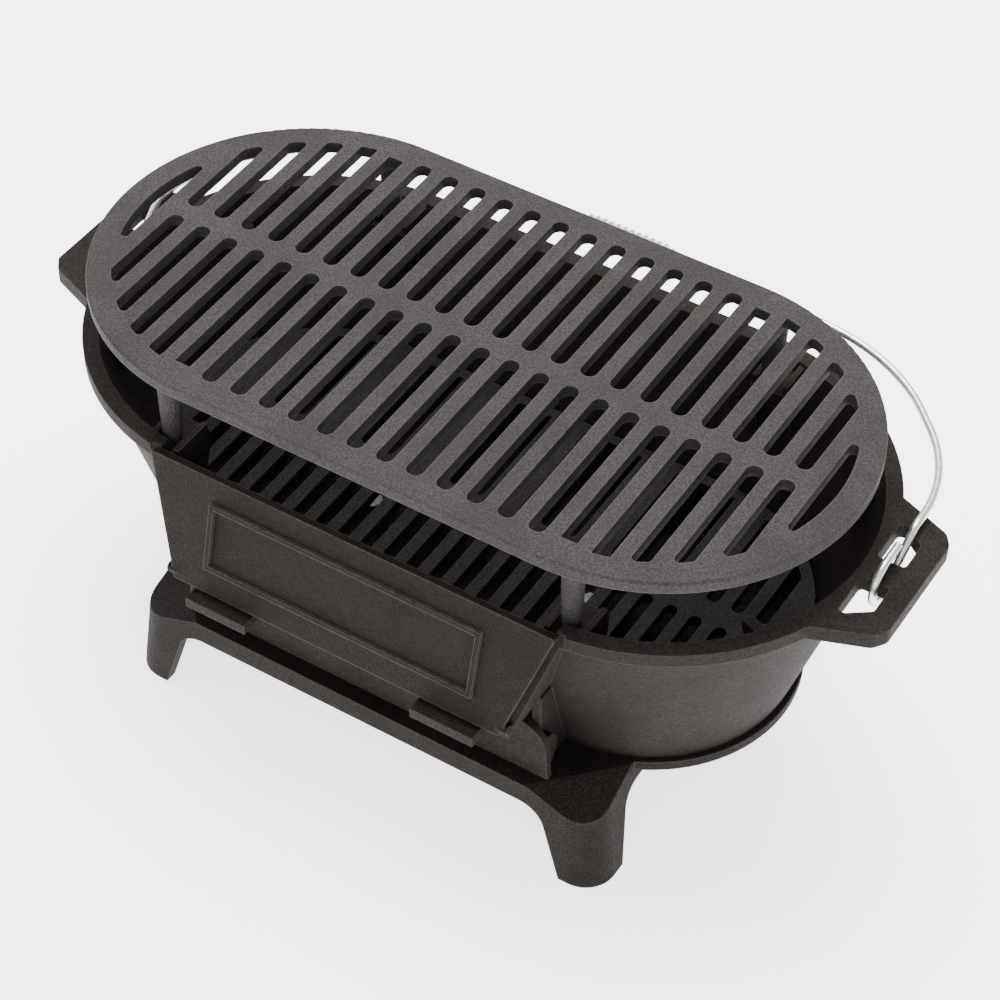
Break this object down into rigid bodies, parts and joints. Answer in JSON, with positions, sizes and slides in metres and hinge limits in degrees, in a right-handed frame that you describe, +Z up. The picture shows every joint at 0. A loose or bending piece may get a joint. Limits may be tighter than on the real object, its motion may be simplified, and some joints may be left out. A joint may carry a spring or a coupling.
{
  "type": "cast-iron hibachi grill",
  "caption": "Oval cast-iron charcoal grill on a footed base, with loose cooking and charcoal grates, a drop-down fire door, a tilting draft door and a wire carrying bail.",
  "frame": {"origin": "on the floor, under the middle of the whole grill, from the lugs under the fire door to the back of the grip; the bowl's own middle is 4.3 mm behind it", "axes": "+X to the right along the bowl's length, +Y to the back, +Z up; the fire door and the draft door face -Y"},
  "size_m": [0.502, 0.3036, 0.228],
  "materials": {
    "grate_iron": "fine-grained matte casting, seasoned",
    "bowl_iron": "fine-grained matte casting, seasoned",
    "door_iron": "smoother casting with a low sheen",
    "zinc_wire": "zinc-plated drawn wire",
    "fastener_steel": "dull plated steel"
  },
  "bodies": {
    "grill": {"fire_bowl": "bowl_iron", "base": "bowl_iron", "base_bolts": "fastener_steel", "base_washers": "fastener_steel", "base_nuts": "fastener_steel"},
    "fire_door": {"fire_door": "door_iron"},
    "draft_door": {"draft_door": "bowl_iron"},
    "bail": {"bail_handle": "zinc_wire", "coil_grip": "zinc_wire"},
    "cooking_grate": {"cooking_grate": "grate_iron"},
    "charcoal_grate": {"charcoal_grate": "grate_iron"}
  },
  "joints": [
    {"name": "fire_door_hinge", "type": "hinge", "parent": "grill", "child": "fire_door", "pos_m": [0, -0.14239, 0.1205], "axis": [1, 0, 0], "range_deg": [0, 120]},
    {"name": "draft_door_hinge", "type": "hinge", "parent": "grill", "child": "draft_door", "pos_m": [0, -0.1108, 0.068], "axis": [1, 0, 0], "range_deg": [0, 30]},
    {"name": "bail_hinge", "type": "hinge", "parent": "grill", "child": "bail", "pos_m": [0, -0.0043, 0.1805], "axis": [1, 0, 0], "range_deg": [0, 145]},
    {"name": "cooking_grate_lift", "type": "slide", "parent": "grill", "child": "cooking_grate", "axis": [0, 0, 1], "range_m": [0, 0.025]},
    {"name": "charcoal_grate_lift", "type": "slide", "parent": "grill", "child": "charcoal_grate", "axis": [0, 0, 1], "range_m": [0, 0.03]}
  ]
}
